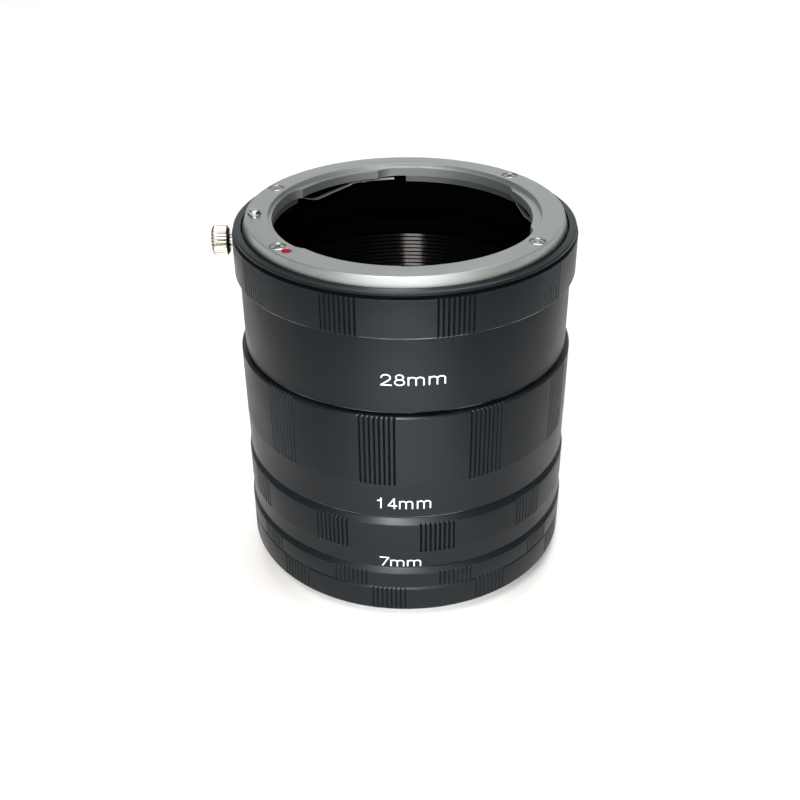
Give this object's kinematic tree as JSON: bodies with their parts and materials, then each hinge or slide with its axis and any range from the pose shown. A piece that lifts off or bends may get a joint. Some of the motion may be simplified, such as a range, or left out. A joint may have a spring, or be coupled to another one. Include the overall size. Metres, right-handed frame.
{
  "type": "macro extension tube",
  "caption": "Stack of threaded black tubes with knurled grips, a bayonet socket with lock pin and release knob on top and a bayonet tongue below, for close-up lens spacing.",
  "frame": {"origin": "middle of the bounding box in plan, at the foot of the male bayonet that the stack stands on; the optical axis is at x 1.8 mm because the release knob reaches out on the -X side", "axes": "+Z along the optical axis towards the lens, -X towards the release knob, -Y towards the size markings"},
  "size_m": [0.0696, 0.066, 0.0768],
  "materials": {
    "black_anodised_aluminium": "satin black anodised",
    "satin_chrome_plate": "satin chrome plated, fine turned",
    "bright_steel": "bright nickelled steel",
    "nickel_plated_brass": "polished nickel plate on brass"
  },
  "bodies": {
    "camera_end": {"camera_mount_ring": "black_anodised_aluminium", "camera_mount_plate": "satin_chrome_plate", "camera_plate_screw_1": "bright_steel", "camera_plate_screw_2": "bright_steel", "camera_plate_screw_3": "bright_steel", "camera_plate_screw_4": "bright_steel"},
    "adapter": {"camera_adapter_ring": "black_anodised_aluminium"},
    "tube_7": {"tube_7mm": "black_anodised_aluminium"},
    "tube_14": {"tube_14mm": "black_anodised_aluminium"},
    "tube_28": {"tube_28mm": "black_anodised_aluminium"},
    "lens_end": {"lens_mount_ring": "black_anodised_aluminium", "lens_mount_plate": "satin_chrome_plate", "lock_pin_spring": "bright_steel", "lens_plate_screw_1": "bright_steel", "lens_plate_screw_2": "bright_steel", "lens_plate_screw_3": "bright_steel", "lens_plate_screw_4": "bright_steel", "leaf_spring_1": "bright_steel", "leaf_spring_2": "bright_steel", "leaf_spring_3": "bright_steel", "spring_rivet_1": "bright_steel", "spring_rivet_2": "bright_steel", "spring_rivet_3": "bright_steel"},
    "release": {"lock_pin": "bright_steel", "release_knob": "nickel_plated_brass"}
  },
  "joints": [
    {"name": "adapter_thread", "type": "hinge", "parent": "camera_end", "child": "adapter", "pos_m": [0.0018, 0, 0], "axis": [0, 0, 1], "range_deg": [0, 1350]},
    {"name": "tube_7_thread", "type": "hinge", "parent": "adapter", "child": "tube_7", "pos_m": [0.0018, 0, 0], "axis": [0, 0, 1], "range_deg": [0, 1350]},
    {"name": "tube_14_thread", "type": "hinge", "parent": "tube_7", "child": "tube_14", "pos_m": [0.0018, 0, 0], "axis": [0, 0, 1], "range_deg": [0, 1350]},
    {"name": "tube_28_thread", "type": "hinge", "parent": "tube_14", "child": "tube_28", "pos_m": [0.0018, 0, 0], "axis": [0, 0, 1], "range_deg": [0, 1350]},
    {"name": "lens_end_thread", "type": "hinge", "parent": "tube_28", "child": "lens_end", "pos_m": [0.0018, 0, 0], "axis": [0, 0, 1], "range_deg": [0, 1350]},
    {"name": "lock_release", "type": "slide", "parent": "lens_end", "child": "release", "axis": [0, 0, -1], "range_m": [0, 0.0014], "stiffness_N_per_m": 600, "springref_m": -0.0017, "deforming": ["lock_pin_spring"]}
  ]
}
